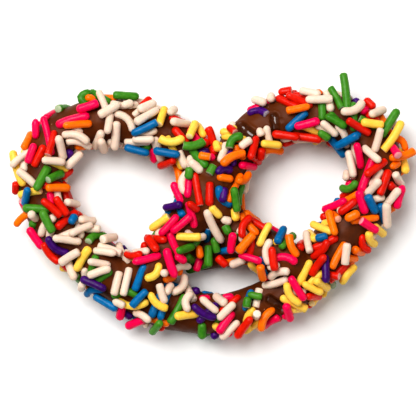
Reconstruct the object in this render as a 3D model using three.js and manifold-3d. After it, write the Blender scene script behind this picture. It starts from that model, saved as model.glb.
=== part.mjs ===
// A hard pretzel twist dipped in milk chocolate and rolled in rod sprinkles, lying flat, twist side up.
// Millimetres, +Z up, the origin under the middle of the footprint, the two large loops towards +Y.
// The coated dough is one rope: it starts as a loose end on the lower arc, climbs through the twist, runs
// round the left loop, the lower arc and the right loop, and comes down through the twist to its other end.
// Every sprinkle is stuck into the coat, so the whole is one solid.
import * as THREE from "three";
import { mergeVertices } from "three/addons/utils/BufferGeometryUtils.js";
import Module from "manifold-3d";

const wasm = await Module();
wasm.setup();
const { degToRad, lerp } = THREE.MathUtils;

// The rope, and the chocolate pooled between its two ends. A route point is [x, y, half width, lift], where
// the lift is how far the middle is above a rope that lies on the tray.
const flatness = 0.93; // height of the coated rope to its width
const settle = 0.86; // height of the rope's middle above the tray, in half widths
const endLeft = [
  [-12.4, -12.8, 3.7, 4.0],
  [-9.4, -9.6, 3.9, 3.0],
  [-6.8, -5.8, 3.9, 2.0],
];
const endRight = [
  [4.4, -5.0, 3.8, 2.0],
  [9.4, -8.2, 3.9, 2.8],
  [14.4, -10.8, 3.7, 3.9],
];
const twist = {
  top: [0.6, 8.2],
  bottom: [-1.6, -1.9],
  level: 5.5, // height of the axis that the two strands wind round
  reach: 2.5, // sideways, from the axis to a strand
  rise: 2.1, // up and down, from the axis to a strand
  girth: 3.7,
  steps: 8, // route points in one full turn
};
const loops = [
  [-7.4, 12.2, 3.9, 1.2],
  [-12.8, 15.0, 4.2, 0.2],
  [-20.4, 16.2, 4.4, 0],
  [-27.2, 14.8, 4.2, 0],
  [-31.6, 10.8, 4.3, 0],
  [-33.0, 4.2, 4.2, 0],
  [-31.0, -2.4, 4.3, 0],
  [-26.2, -7.8, 4.6, 0],
  [-20.4, -12.5, 4.7, 0],
  [-14.2, -17.0, 4.6, 0],
  [-7.2, -20.0, 4.3, 0],
  [0.6, -21.2, 3.8, 0],
  [8.2, -19.4, 3.9, 0],
  [14.8, -16.4, 4.2, 0],
  [20.2, -11.6, 4.6, 0],
  [25.2, -5.8, 4.6, 0],
  [29.8, 0.4, 4.6, 0],
  [31.8, 7.4, 4.6, 0],
  [29.6, 13.4, 4.6, 0],
  [23.2, 16.9, 4.5, 0],
  [16.2, 16.9, 4.4, 0],
  [10.4, 15.2, 4.2, 0.3],
  [6.6, 12.4, 3.9, 1.2],
];
const pool = [
  [-3.2, -8.9, 3.6, -1.4],
  [-0.4, -8.7, 3.6, -1.2],
  [2.6, -8.5, 3.6, -1.4],
];
const stationGap = 0.5; // between the places where the rope is measured
const creaseFill = 1.8; // how far chocolate has run into the crease between two stretches
const sameStretch = 13; // along the rope, within which two places can't form a crease

// The rods.
const thin = 0.7; // least and greatest radius
const thick = 0.8;
const longest = 7.6;
const shortest = 3.6;
const rodCount = 520; // on the whole pretzel
const throwsMost = 15000;
const fusedCount = 176; // the largest, which take part in the solid
const lowestAngle = -24; // degrees below the rope's side
const traySpace = 0.06;
const highest = 12.3; // of the rods, over the tray
const depthLeast = 0.35; // how far a rod is sunk in the coat
const depthMost = 0.75;
const sideDepth = 0.3; // the more where the coat stands upright
const laidDepth = 0.55; // of a rod that is laid by hand, at its ends
const laidDepthMost = 0.95; // and along it
const bowedShare = 0.2;
const bowMost = 1;
const layeredShare = 0.55; // of the rods that may lie over another
const squeeze = 0.12; // how far two touching rods are at most pressed into each other
const touch = 0.05; // and at least, where one lies on the other
const standOff = { side: 0.9, top: 2.4 }; // how far an end may be off the coat, where the coat faces that way
const beadCount = 7; // places measured along a rod
const firstSeed = 2810;

// Places seen from above, [x, y, radius], that the rods left bare.
const barePatches = [
  [-29.6, 17.0, 1.7],
  [-22.8, 15.6, 1.9],
  [-34.6, 7.4, 0.9],
  [8.0, 14.6, 2.0],
  [12.4, 17.0, 2.2],
  [26.4, -5.6, 2.2],
  [11.6, -18.4, 2.0],
  [-18.8, -12.0, 1.6],
  [-16.0, -19.6, 1.4],
  [-2.6, -3.6, 1.6],
  [-6.2, -23.4, 1.5],
];

// Rods laid by hand, which give the outline its spikes and hooks and lie on the twist and round the small
// gap: the two ends in plan, the second end's lift, and the bow to the side.
const strayRods = [
  { from: [26.0, 17.6], to: [25.2, 25.6], up: 0.4, bow: 0.1 },
  { from: [27.1, 14.1], to: [27.1, 19.9], up: 0.9, bow: 0.1 },
  { from: [32.3, 13.1], to: [35.8, 18.5], up: 0.8, bow: 0 },
  { from: [32.7, 10.2], to: [36.6, 16.2], up: 1.4, bow: 0.2 },
  { from: [34.6, 13.4], to: [37.7, 10.6], up: -0.4, bow: -0.6 },
  { from: [34.0, 8.9], to: [39.2, 10.4], up: -0.2, bow: 0.2 },
  { from: [-34.1, 12.7], to: [-34.1, 16.6], up: 0.8, bow: 0 },
  { from: [-30.9, 9.5], to: [-32.7, 17.2], up: 0.5, bow: 0.1 },
  { from: [-30.2, 15.3], to: [-23.6, 17.3], up: 0.4, bow: -0.2 },
  { from: [-34.8, 10.6], to: [-39.0, 7.4], up: 1.0, bow: 0.2 },
  { from: [-24.6, 18.8], to: [-24.0, 22.4], up: 0.4, bow: -1.1 },
  { from: [-22.6, 19.2], to: [-24.4, 21.2], up: 0.9, bow: 0.4 },
  { from: [0.3, 11.4], to: [-0.9, 15.2], up: 1.6, bow: 0.1 },
  { from: [4.8, 14.9], to: [1.4, 13.9], up: 0.5, bow: -0.3 },
  { from: [1.8, 13.4], to: [6.6, 12.4], up: 0.6, bow: 0 },
  { from: [-18.6, -18.4], to: [-12.2, -18.8], up: 0.8, bow: 0.9 },
  { from: [-13.0, -11.3], to: [-15.0, -16.6], up: 0.9, bow: 0 },
  { from: [-8.4, -16.4], to: [-10.2, -22.2], up: 0.5, bow: 0.1 },
  { from: [-5.1, -17.2], to: [-8.3, -23.0], up: 0.5, bow: 0 },
  { from: [25.7, -7.1], to: [22.7, -12.4], up: 0.6, bow: 0.1 },
  { from: [13.0, -17.7], to: [18.4, -20.2], up: 0.6, bow: 0 },
  { from: [33.2, 1.6], to: [23.9, -1.3], up: 0.5, bow: 0.3 },
  { from: [31.1, 9.5], to: [28.4, 2.3], up: 0.4, bow: 0 },
  { from: [-2.0, -22.6], to: [-2.0, -25.9], up: -0.6, bow: 0 },
  { from: [-17.2, -18.4], to: [-18.0, -22.2], up: -0.8, bow: 0 },
  { from: [-13.0, -22.0], to: [-16.8, -23.6], up: -2.0, bow: 0 },
  { from: [-34.4, -1.0], to: [-38.3, -4.0], up: -0.6, bow: 0.3 },
  { from: [5.6, 6.1], to: [2.9, 0.4], up: 0.4, bow: 0.1 },
  { from: [-3.5, 6.3], to: [-2.3, -0.4], up: 0.4, bow: 0 },
  { from: [-0.5, 4.6], to: [-0.6, -0.3], up: 0.2, bow: 0 },
  { from: [-4.6, 0.8], to: [-3.4, -4.5], up: 0.3, bow: 0 },
  { from: [-1.3, -0.9], to: [1.9, -7.3], up: 0.3, bow: 0.2 },
  { from: [-5.4, -5.2], to: [-1.2, -6.2], up: 0.5, bow: 0.5 },
  { from: [-8.5, -5.0], to: [-6.1, -10.4], up: 0.3, bow: 0.1 },
  { from: [5.2, -1.7], to: [8.7, -5.8], up: 0.3, bow: 0.1 },
  { from: [7.4, -5.4], to: [6.7, -10.9], up: 0.2, bow: -0.4 },
  { from: [-7.6, 14.9], to: [-4.7, 11.6], up: 0.3, bow: 0 },
  { from: [-4.6, 14.8], to: [-2.1, 11.0], up: 0.3, bow: 0 },
  { from: [2.8, 12.0], to: [1.4, 8.2], up: 0.3, bow: 0 },
  { from: [4.1, 11.6], to: [6.2, 8.7], up: 0.2, bow: 0.2 },
  { from: [-9.8, -11.2], to: [-12.8, -14.5], up: 0.6, bow: -0.6 },
  { from: [-5.0, -13.4], to: [-7.8, -17.3], up: 0.3, bow: -0.7 },
  { from: [-4.2, -11.7], to: [-8.2, -12.8], up: 0.4, bow: 0.4 },
  { from: [-0.8, -7.6], to: [-0.8, -12.1], up: 0.1, bow: 0 },
  { from: [-2.7, -7.7], to: [-2.3, -10.4], up: 0.4, bow: 0 },
  { from: [0.7, -9.9], to: [2.9, -11.9], up: 0.2, bow: 0 },
  { from: [3.4, -11.7], to: [6.3, -10.4], up: 0.2, bow: 0 },
  { from: [9.0, -10.0], to: [10.5, -13.6], up: 0.3, bow: 0 },
  { from: [9.6, -15.7], to: [14.6, -14.1], up: 0.3, bow: 0.2 },
  { from: [8.8, 14.9], to: [9.6, 13.1], up: 0.3, bow: 0 },
  { from: [10.3, 15.3], to: [11.2, 11.4], up: 0.3, bow: 0.1 },
  { from: [-4.3, 11.2], to: [-1.0, 7.2], up: 0.2, bow: 0.2 },
  { from: [-1.8, 9.4], to: [0.6, 9.0], up: 0.2, bow: 0 },
  { from: [0.4, 7.8], to: [-0.8, 5.7], up: 0.2, bow: 0 },
  { from: [3.3, 10.6], to: [4.0, 7.3], up: 0, bow: 0 },
  { from: [0.5, 6.2], to: [3.9, 6.9], up: 0.2, bow: -0.4 },
  { from: [0.8, 5.4], to: [4.0, 4.9], up: 0.2, bow: 0 },
  { from: [0.9, 3.6], to: [3.6, -0.4], up: 0.1, bow: 0.8 },
  { from: [2.4, 3.5], to: [1.8, 0.4], up: 0.5, bow: 0 },
  { from: [5.7, 4.4], to: [4.8, -0.4], up: 0.1, bow: 0.2 },
  { from: [-0.5, -0.2], to: [1.7, -2.4], up: 0.2, bow: 0 },
  { from: [4.1, -0.4], to: [4.6, -3.2], up: 0.3, bow: 0 },
  { from: [1.6, -2.6], to: [3.6, -3.3], up: 0.2, bow: 0 },
  { from: [2.3, -3.7], to: [3.3, -5.8], up: 0.5, bow: 0 },
  { from: [4.2, -5.0], to: [3.9, -7.8], up: 0.2, bow: 0 },
  { from: [5.2, -4.1], to: [5.8, -7.2], up: 0.2, bow: -0.4 },
  { from: [0.2, -6.2], to: [1.0, -9.4], up: 0.2, bow: 0 },
  { from: [-8.9, 13.4], to: [-5.7, 6.8], up: 0.2, bow: 0 },
  { from: [-6.6, 10.6], to: [-5.0, 7.0], up: 0.2, bow: 0 },
  { from: [-4.3, 9.6], to: [-4.0, 6.7], up: 0.2, bow: 0 },
  { from: [-5.0, 6.6], to: [-5.5, 1.9], up: 0.1, bow: 0.7 },
  { from: [-4.4, 6.0], to: [-4.8, 1.3], up: 0.2, bow: 0 },
  { from: [-7.0, 1.3], to: [-5.6, -2.4], up: 0.2, bow: 0 },
  { from: [-7.4, -2.1], to: [-6.0, -4.0], up: 0.3, bow: 0 },
  { from: [-36.4, 3.6], to: [-38.8, 10.6], up: -1.2, bow: -0.2 },
];
const overhangHeight = 6.2; // of an end that hangs past the rope's side

// Ovals seen from above, [x, y, half width, half depth], which the rods leave open: the small gap, the
// notch between the loops, and dents in the outline.
const clearOvals = [
  [2.4, -14.9, 6.4, 2.5],
  [0.4, 14.2, 1.5, 2.1],
  [4.0, 17.6, 2.0, 1.2],
  [-28.4, 20.4, 3.4, 1.2],
  [-6.4, -25.0, 3.4, 1.2],
];

// Sides and rings of the faceted surfaces.
const ropeSides = 12;
const ropeFullness = 1.02; // gives the faceted rope the round one's bulk
const ropeRingGap = 4;
const tipAngles = [76, 48, 22]; // degrees, of the rings that round off the rope's ends
const rodSides = 5;
const rodFullness = 1.06; // gives a five-sided rod the round one's bulk
const rodTip = 0.45; // height of a rod's blunt end, in radii

const up = new THREE.Vector3(0, 0, 1);

let seed = firstSeed;
function draw() {
  seed = (Math.imul(seed, 1664525) + 1013904223) >>> 0;
  return seed / 2 ** 32;
}

// One strand's route points through the twist, from the bottom up; it starts at the left or the right.
function strand(startAngle) {
  return Array.from({ length: twist.steps + 1 }, (_, step) => {
    const share = step / twist.steps;
    const angle = startAngle + share * 2 * Math.PI;
    const x = lerp(twist.bottom[0], twist.top[0], share);
    const y = lerp(twist.bottom[1], twist.top[1], share);
    const z = twist.level + twist.rise * Math.sin(angle);
    return [x + twist.reach * Math.cos(angle), y, twist.girth, z - settle * twist.girth];
  });
}

const route = [
  ...endLeft,
  ...strand(Math.PI),
  ...loops,
  ...strand(0).reverse(),
  ...endRight,
];

// A route's middle line and half width, measured at even gaps along its length, and the rings for its mesh.
function measureRope(points) {
  const curveOf = (places) => new THREE.CatmullRomCurve3(places, false, "catmullrom", 0.5);
  const middles = points.map(([x, y, girth, lift]) => new THREE.Vector3(x, y, settle * girth + lift));
  const middleLine = curveOf(middles);
  const girths = curveOf(points.map(([, , girth]) => new THREE.Vector3(girth, 0, 0)));
  middleLine.arcLengthDivisions = 40 * (points.length - 1);
  const length = middleLine.getLength();
  const ringCount = Math.round(length / ropeRingGap);
  const perRing = Math.round(length / ringCount / stationGap);
  const count = ringCount * perRing;
  const stations = Array.from({ length: count + 1 }, (_, k) => {
    const t = middleLine.getUtoTmapping(k / count);
    return { middle: middleLine.getPoint(t), girth: girths.getPoint(t).x, along: (k / count) * length };
  });
  stations.forEach((station, k) => {
    const before = stations[Math.max(k - 1, 0)].middle;
    const after = stations[Math.min(k + 1, count)].middle;
    station.ahead = after.clone().sub(before).normalize();
    station.side = station.ahead.clone().cross(up).normalize();
    station.top = station.side.clone().cross(station.ahead);
  });
  return { stations, rings: ringsAlong(stations, perRing) };
}

// The rings that carry a rope's surface: one every few stations, and smaller ones round each end.
function ringsAlong(stations, perRing) {
  const last = stations.length - 1;
  const carriers = stations.filter((_, k) => k % perRing === 0);
  const body = carriers.map((station) => ({ station, size: 1, ahead: 0 }));
  const tip = (station, way) =>
    tipAngles.map(degToRad).map((angle) => ({
      station,
      size: Math.cos(angle),
      ahead: way * Math.sin(angle),
    }));
  return [...tip(stations[0], -1), ...body, ...tip(stations[last], 1).reverse()];
}

const rope = measureRope(route);
const pooled = measureRope(pool);
pooled.stations.forEach((station) => {
  station.along += 2 * rope.stations[rope.stations.length - 1].along;
});
const stations = [...rope.stations, ...pooled.stations];

// A place on the rope: across its side and its top in half widths, and ahead of the station.
function onRope(station, side, top, ahead) {
  return station.middle
    .clone()
    .addScaledVector(station.side, side * station.girth)
    .addScaledVector(station.top, top * station.girth * flatness)
    .addScaledVector(station.ahead, ahead * station.girth);
}

// How far a place is outside the coat, negative inside, and the way straight out. Creases are filled.
function coatAt(place) {
  const reaches = stations.map(({ middle, girth }) => {
    const dx = place.x - middle.x;
    const dy = place.y - middle.y;
    const dz = (place.z - middle.z) / flatness;
    return Math.sqrt(dx * dx + dy * dy + dz * dz) - girth;
  });
  const nearest = reaches.indexOf(Math.min(...reaches));
  const home = stations[nearest].along;
  let other = -1;
  reaches.forEach((reach, k) => {
    const far = Math.abs(stations[k].along - home) > sameStretch;
    if (far && (other < 0 || reach < reaches[other])) other = k;
  });
  const blend = Math.max(creaseFill - (reaches[other] - reaches[nearest]), 0) / creaseFill;
  const outward = (k) => {
    const way = place.clone().sub(stations[k].middle);
    way.z /= flatness * flatness;
    return way.normalize();
  };
  const out = outward(nearest).multiplyScalar(1 - blend / 2).addScaledVector(outward(other), blend / 2);
  return { reach: reaches[nearest] - (blend * blend * creaseFill) / 4, out: out.normalize() };
}

// Beads along a rod, which stand for its bowed axis.
function beadsOf(start, end, bowWay) {
  return Array.from({ length: beadCount }, (_, k) => {
    const share = k / (beadCount - 1);
    const bend = 4 * share * (1 - share);
    return start.clone().lerp(end, share).addScaledVector(bowWay, bend);
  });
}

function rod(start, end, bowWay, radius) {
  return { start, end, bowWay, radius, beads: beadsOf(start, end, bowWay) };
}

// The least distance between the surfaces of a rod and those already placed.
function roomAround(candidate, placed) {
  let room = Infinity;
  const middle = candidate.beads[(beadCount - 1) / 2];
  for (const other of placed) {
    if (middle.distanceTo(other.beads[(beadCount - 1) / 2]) > longest + thick) continue;
    for (const a of candidate.beads) {
      for (const b of other.beads) {
        room = Math.min(room, a.distanceTo(b) - candidate.radius - other.radius);
      }
    }
  }
  return room;
}

function blocksGap({ beads, radius }) {
  const inside = ({ x, y }, [middleX, middleY, wide, deep]) =>
    Math.hypot((x - middleX) / (wide + radius), (y - middleY) / (deep + radius)) < 1;
  return clearOvals.some((oval) => beads.some((bead) => inside(bead, oval)));
}

// Height of a rod's axis over a place in plan, sunk in the coat; past the rope's side it just hangs.
function heightOver([x, y], radius, depth) {
  const place = new THREE.Vector3(x, y, 14);
  while (place.z > overhangHeight) {
    const left = coatAt(place).reach - (radius - depth);
    if (left < 0.02) return place.z;
    place.z -= left * 0.8;
  }
  return overhangHeight;
}

function placeStray({ from, to, up: lift, bow }) {
  const radius = lerp(thin, thick, draw());
  const start = new THREE.Vector3(...from, heightOver(from, radius, laidDepth));
  const end = new THREE.Vector3(...to, heightOver(to, radius, laidDepth) + lift);
  const along = end.clone().sub(start).normalize();
  start.addScaledVector(along, radius);
  end.addScaledVector(along, -radius);
  const bowWay = along.clone().cross(up).normalize().multiplyScalar(bow);
  const reaches = beadsOf(start, end, bowWay).map((bead) => coatAt(bead).reach);
  const rise = Math.max(radius - laidDepthMost - Math.min(...reaches), 0);
  return rod(start.setZ(start.z + rise), end.setZ(end.z + rise), bowWay, radius);
}

// Ways that a rod may lie: how far each end is lifted off the coat.
const lays = [
  [0, 0],
  [0, 1.1],
  [1.1, 0],
  [0.2, 1.7],
  [1.7, 0.2],
  [1.3, 1.3],
];

// One throw: a place on the rope and a turn; the length falls as the pretzel fills. The rod is sunk in the
// coat, or leans on those already there, or is lost.
function throwRod(placed) {
  const station = stations[Math.floor(draw() * stations.length)];
  const angle = degToRad(lerp(lowestAngle, 180 - lowestAngle, draw()));
  const turn = draw() * Math.PI;
  const radius = lerp(thin, thick, draw());
  const full = lerp(longest, shortest, Math.sqrt(placed.length / rodCount)) - 0.8 * draw();
  const bow = draw() < bowedShare ? bowMost * (0.4 + 0.6 * draw()) : 0.12 * draw();
  const sunk = lerp(depthLeast, depthMost, draw());
  const layered = draw() < layeredShare;

  const place = onRope(station, Math.cos(angle), Math.sin(angle), 0);
  let coat = coatAt(place);
  if (coat.reach < -1.2) return null;
  for (let step = 0; step < 3; step++) {
    place.addScaledVector(coat.out, -coat.reach);
    coat = coatAt(place);
  }
  const bare = barePatches.some(([x, y, size]) => Math.hypot(place.x - x, place.y - y) < size + full * 0.2);
  if (bare && coat.out.z > 0.3) return null;

  const first = station.ahead.clone().addScaledVector(coat.out, -station.ahead.dot(coat.out)).normalize();
  const second = coat.out.clone().cross(first);
  const along = first.multiplyScalar(Math.cos(turn)).addScaledVector(second, Math.sin(turn));
  const half = full / 2 - radius;
  const depth = sunk + sideDepth * (1 - Math.abs(coat.out.z));
  const bowWay = coat.out.clone().cross(along).multiplyScalar(bow * (full / longest));
  const flat = rod(
    place.clone().addScaledVector(along, -half),
    place.clone().addScaledVector(along, half),
    bowWay,
    radius,
  );
  const reaches = flat.beads.map((bead) => coatAt(bead).reach);
  const raise = radius - depth - Math.min(...reaches);
  const furthest = lerp(standOff.side, standOff.top, Math.max(coat.out.z, 0));
  for (const [startLift, endLift] of layered ? lays : lays.slice(0, 1)) {
    const start = flat.start.clone().addScaledVector(coat.out, raise + startLift);
    const end = flat.end.clone().addScaledVector(coat.out, raise + endLift);
    const candidate = rod(start, end, bowWay, radius);
    const heights = candidate.beads.map((bead) => bead.z);
    const within = Math.min(...heights) - radius > traySpace && Math.max(...heights) + radius < highest;
    const room = roomAround(candidate, placed);
    const lifts = reaches.map((reach, k) => reach + lerp(startLift, endLift, k / (beadCount - 1)));
    const held = Math.min(startLift, endLift) < 0.5 || room < -touch;
    const near = raise + Math.max(...lifts) < furthest;
    if (held && near && within && room > -squeeze && !blocksGap(candidate)) return candidate;
  }
  return null;
}

function placeRods() {
  const placed = strayRods.map(placeStray);
  for (let k = 0; k < throwsMost && placed.length < fusedCount; k++) {
    const landed = throwRod(placed);
    if (landed) placed.push(landed);
  }
  return placed;
}

// A closed mesh as a solid that can be joined. Its doubled points are merged and flat triangles dropped.
function solidOf(geometry) {
  geometry.deleteAttribute("normal");
  geometry.deleteAttribute("uv");
  const merged = mergeVertices(geometry, 1e-5);
  const corners = merged.index.array;
  const kept = [];
  for (let k = 0; k < corners.length; k += 3) {
    const [a, b, c] = corners.slice(k, k + 3);
    if (a !== b && b !== c && c !== a) kept.push(a, b, c);
  }
  const vertProperties = new Float32Array(merged.attributes.position.array);
  return new wasm.Manifold(new wasm.Mesh({ numProp: 3, vertProperties, triVerts: new Uint32Array(kept) }));
}

// A stretch of the rope: a cylinder bent along its rings, with its lowest facets settled flat on the tray.
function ropeStretch(rings) {
  const halfSide = Math.PI / ropeSides;
  const shape = new THREE.CylinderGeometry(1, 1, 1, ropeSides, rings.length - 1, false, halfSide);
  const points = shape.attributes.position;
  for (let k = 0; k < points.count; k++) {
    const { station, size, ahead } = rings[Math.round((points.getY(k) + 0.5) * (rings.length - 1))];
    const width = size * ropeFullness;
    const place = onRope(station, points.getX(k) * width, points.getZ(k) * width, ahead);
    points.setXYZ(k, place.x, place.y, Math.max(place.z, 0));
  }
  return solidOf(shape);
}

// The coated rope, in three stretches that don't cross themselves: the loops, and the two ends, each with
// its strand of the twist. Neighbours share the ring that they meet at.
function ropeSolid() {
  const rings = rope.rings;
  const ringNear = ([x, y]) => {
    const gaps = rings.map(({ station }) => Math.hypot(station.middle.x - x, station.middle.y - y));
    return gaps.indexOf(Math.min(...gaps));
  };
  const leftJoin = ringNear(loops[1]);
  const rightJoin = ringNear(loops[loops.length - 2]);
  return ropeStretch(rings.slice(leftJoin, rightJoin + 1))
    .add(ropeStretch(rings.slice(0, leftJoin + 1)))
    .add(ropeStretch(rings.slice(rightJoin)));
}

// A rod with blunt ends, as a bent five-sided cylinder; a straight one needs a single step along.
function rodSolid({ start, end, bowWay, radius }) {
  const steps = bowWay.length() > 0.3 ? 2 : 1;
  const shape = new THREE.CylinderGeometry(1, 1, 1, rodSides, steps);
  const points = shape.attributes.position;
  const along = end.clone().sub(start).normalize();
  const side = along.clone().cross(Math.abs(along.z) < 0.8 ? up : new THREE.Vector3(1, 0, 0)).normalize();
  const top = side.clone().cross(along);
  for (let k = 0; k < points.count; k++) {
    const share = points.getY(k) + 0.5;
    const onAxis = Math.hypot(points.getX(k), points.getZ(k)) < 0.1;
    const blunt = onAxis ? rodTip : 0;
    const place = start
      .clone()
      .lerp(end, share)
      .addScaledVector(bowWay, 4 * share * (1 - share))
      .addScaledVector(along, Math.sign(points.getY(k)) * (1 - rodTip + blunt) * radius)
      .addScaledVector(side, points.getX(k) * radius * rodFullness)
      .addScaledVector(top, points.getZ(k) * radius * rodFullness);
    points.setXYZ(k, place.x, place.y, place.z);
  }
  return solidOf(shape);
}

// The pretzel with its rods fused on, without scraps that touch nothing.
function pretzelGeometry() {
  let solid = ropeSolid().add(ropeStretch(pooled.rings));
  for (const placed of placeRods()) solid = solid.add(rodSolid(placed));
  const pieces = solid.decompose().sort((a, b) => b.volume() - a.volume());
  const { vertProperties, triVerts } = pieces[0].getMesh();
  const geometry = new THREE.BufferGeometry();
  geometry.setAttribute("position", new THREE.BufferAttribute(vertProperties, 3));
  geometry.setIndex(new THREE.BufferAttribute(triVerts, 1));
  geometry.computeVertexNormals();
  return geometry;
}

const chocolate = new THREE.MeshStandardMaterial({ color: 0x572b12, roughness: 0.42, metalness: 0 });

const pretzel = new THREE.Group();
const coated = new THREE.Mesh(pretzelGeometry(), chocolate);
coated.name = "sprinkle_pretzel";
pretzel.add(coated);

export default pretzel;
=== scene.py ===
import bpy
import numpy as np
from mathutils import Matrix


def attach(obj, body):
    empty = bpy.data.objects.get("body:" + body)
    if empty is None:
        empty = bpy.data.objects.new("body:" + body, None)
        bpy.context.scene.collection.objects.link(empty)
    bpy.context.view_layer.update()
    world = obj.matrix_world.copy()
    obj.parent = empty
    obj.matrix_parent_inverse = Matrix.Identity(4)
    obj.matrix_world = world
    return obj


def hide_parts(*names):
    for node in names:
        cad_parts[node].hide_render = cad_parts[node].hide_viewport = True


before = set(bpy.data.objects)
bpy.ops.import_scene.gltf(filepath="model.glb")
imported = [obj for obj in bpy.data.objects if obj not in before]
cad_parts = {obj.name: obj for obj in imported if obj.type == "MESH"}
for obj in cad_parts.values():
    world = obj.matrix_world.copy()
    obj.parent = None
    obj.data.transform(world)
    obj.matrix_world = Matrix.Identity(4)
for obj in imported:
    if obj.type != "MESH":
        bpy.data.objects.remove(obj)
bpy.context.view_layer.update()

solidNode = "sprinkle_pretzel"
metre = 0.001  # one millimetre
zUp = np.array([0.0, 0.0, 1.0])
tiny = 1e-9  # keeps a division from one by nought

# The coated rope. A route point is [x, y, half width, lift], where the lift is how far the middle is above
# that of a rope on the tray.
rope = {
    "flatness": 0.93,  # height of the coated rope to its width
    "settle": 0.86,  # height of the rope's middle above the tray, in half widths
    "endLeft": [[-12.4, -12.8, 3.7, 4.0], [-9.4, -9.6, 3.9, 3.0], [-6.8, -5.8, 3.9, 2.0]],
    "endRight": [[4.4, -5.0, 3.8, 2.0], [9.4, -8.2, 3.9, 2.8], [14.4, -10.8, 3.7, 3.9]],
    "twist": {"top": [0.6, 8.2], "bottom": [-1.6, -1.9], "level": 5.5, "reach": 2.5, "rise": 2.1,
              "girth": 3.7, "steps": 8},
    "loops": [
        [-7.4, 12.2, 3.9, 1.2], [-12.8, 15.0, 4.2, 0.2], [-20.4, 16.2, 4.4, 0], [-27.2, 14.8, 4.2, 0],
        [-31.6, 10.8, 4.3, 0], [-33.0, 4.2, 4.2, 0], [-31.0, -2.4, 4.3, 0], [-26.2, -7.8, 4.6, 0],
        [-20.4, -12.5, 4.7, 0], [-14.2, -17.0, 4.6, 0], [-7.2, -20.0, 4.3, 0], [0.6, -21.2, 3.8, 0],
        [8.2, -19.4, 3.9, 0], [14.8, -16.4, 4.2, 0], [20.2, -11.6, 4.6, 0], [25.2, -5.8, 4.6, 0],
        [29.8, 0.4, 4.6, 0], [31.8, 7.4, 4.6, 0], [29.6, 13.4, 4.6, 0], [23.2, 16.9, 4.5, 0],
        [16.2, 16.9, 4.4, 0], [10.4, 15.2, 4.2, 0.3], [6.6, 12.4, 3.9, 1.2],
    ],
    "pool": [[-3.2, -8.9, 3.6, -1.4], [-0.4, -8.7, 3.6, -1.2], [2.6, -8.5, 3.6, -1.4]],
    "ringGap": 4,
    "stationGap": 0.5,  # between the places where the rope is measured
    "measureSteps": 40,  # a span, when the middle line's length is measured
    "placesAtOnce": 4000,
    "creaseFill": 1.8,  # how far chocolate has run into the crease between two stretches
    "sameStretch": 13,  # along the rope, within which two places can't form a crease
}


def makeDraw(seed):
    # Even numbers from 0 to 1: each state is the last times 1664525 plus 1013904223, modulo 2 to the 32nd.
    state = seed

    def draw():
        nonlocal state
        state = (state * 1664525 + 1013904223) % 2**32
        return state / 2**32

    return draw


def lerp(a, b, share):
    # The value a share of the way from a to b.
    return a + (b - a) * share


def unit(vectors):
    # Each vector divided by its length.
    return vectors / np.linalg.norm(vectors, axis=-1, keepdims=True)


def curveThrough(points, t):
    # Catmull-Rom: each span is the cubic whose slope at a point is half the step from the point before to
    # the one after; t runs from 0 to 1 over all spans, and the line goes straight on past both ends.
    points = np.asarray(points, float)
    padded = np.vstack([2 * points[0] - points[1], points, 2 * points[-1] - points[-2]])
    place = t * (len(points) - 1)
    span = np.minimum(place.astype(int), len(points) - 2)
    w = (place - span)[:, None]
    a, b, c, d = (padded[span + k] for k in range(4))
    slopeB, slopeC = (c - a) / 2, (d - b) / 2
    cubic = 2 * (b - c) + slopeB + slopeC
    square = 3 * (c - b) - 2 * slopeB - slopeC
    return b + w * (slopeB + w * (square + w * cubic))


def strand(startAngle):
    # A helix round the twist's axis: one full turn from the bottom up, squeezed in height.
    twist = rope["twist"]
    share = np.arange(twist["steps"] + 1) / twist["steps"]
    angle = startAngle + share * 2 * np.pi
    x = lerp(twist["bottom"][0], twist["top"][0], share) + twist["reach"] * np.cos(angle)
    y = lerp(twist["bottom"][1], twist["top"][1], share)
    z = twist["level"] + twist["rise"] * np.sin(angle)
    girth = np.full(len(share), twist["girth"])
    return np.stack([x, y, girth, z - rope["settle"] * twist["girth"]], 1)


def measureRope(route):
    # Stations at even steps of the middle line's length, each with its half width and its own three axes.
    route = np.asarray(route, float)
    middles = np.stack([route[:, 0], route[:, 1], rope["settle"] * route[:, 2] + route[:, 3]], 1)
    fine = np.linspace(0, 1, rope["measureSteps"] * (len(route) - 1) + 1)
    chords = np.linalg.norm(np.diff(curveThrough(middles, fine), axis=0), axis=1)
    lengths = np.concatenate([[0], np.cumsum(chords)])
    rings = round(lengths[-1] / rope["ringGap"])
    count = rings * round(lengths[-1] / rings / rope["stationGap"])
    share = np.arange(count + 1) / count
    t = np.interp(share * lengths[-1], lengths, fine)
    middle = curveThrough(middles, t)
    girth = curveThrough(route[:, 2:3], t)[:, 0]
    padded = np.vstack([middle[:1], middle, middle[-1:]])
    ahead = unit(padded[2:] - padded[:-2])
    side = unit(np.cross(ahead, zUp))
    return {"middle": middle, "girth": girth, "along": share * lengths[-1], "ahead": ahead, "side": side,
            "top": np.cross(side, ahead)}


route = np.vstack([rope["endLeft"], strand(np.pi), rope["loops"], strand(0)[::-1], rope["endRight"]])
coated = measureRope(route)
pooled = measureRope(rope["pool"])
pooled["along"] = pooled["along"] + 2 * coated["along"][-1]
stations = {key: np.concatenate([coated[key], pooled[key]]) for key in coated}
print("rope measured at", len(stations["girth"]), "stations")


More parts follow.
